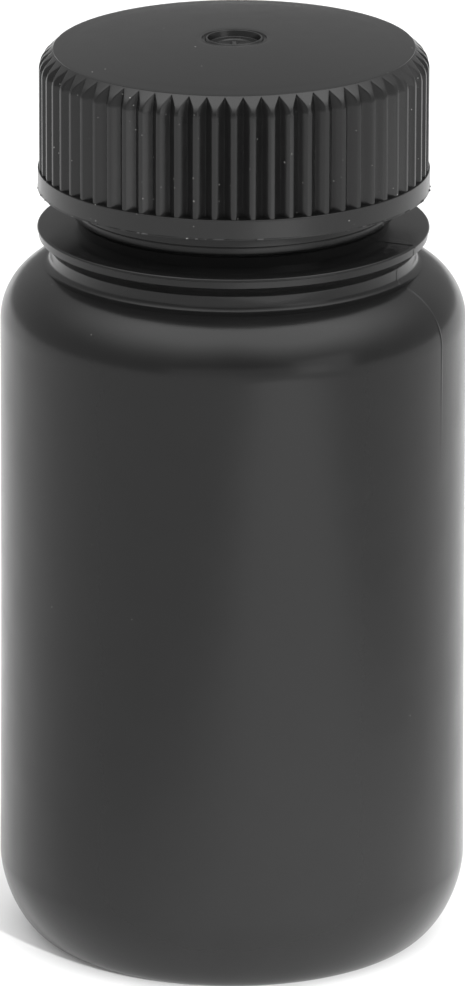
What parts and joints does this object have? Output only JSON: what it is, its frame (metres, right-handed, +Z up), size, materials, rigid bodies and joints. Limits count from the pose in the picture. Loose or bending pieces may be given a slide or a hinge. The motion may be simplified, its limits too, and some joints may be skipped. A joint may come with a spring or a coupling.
{
  "type": "reagent bottle",
  "caption": "Wide-mouth plastic reagent bottle with rounded shoulder, support flange and a finely ribbed screw cap that unscrews and lifts off, with a sealing liner inside.",
  "frame": {"origin": "centre of the foot ring, on the surface the bottle stands on", "axes": "+Z up along the bottle's axis, -Y the side seen in front"},
  "size_m": [0.052, 0.052, 0.1034],
  "materials": {
    "bottle_plastic": "blow-moulded dark HDPE, satin",
    "cap_plastic": "injection-moulded black polypropylene, satin",
    "liner_foam": "white closed-cell polyethylene foam"
  },
  "bodies": {
    "bottle": {"bottle": "bottle_plastic"},
    "seal": {"liner": "liner_foam"},
    "cap": {"cap": "cap_plastic"}
  },
  "joints": [
    {"name": "cap_lift", "type": "slide", "parent": "bottle", "child": "seal", "axis": [0, 0, 1], "range_m": [0, 0.01692]},
    {"name": "cap_turn", "type": "hinge", "parent": "seal", "child": "cap", "pos_m": [0, 0, 0.09], "axis": [0, 0, 1], "range_deg": [0, 1440]}
  ],
  "couplings": [
    {"joint": "cap_lift", "follows": "cap_turn", "m_per_rad": 0.00067323}
  ]
}
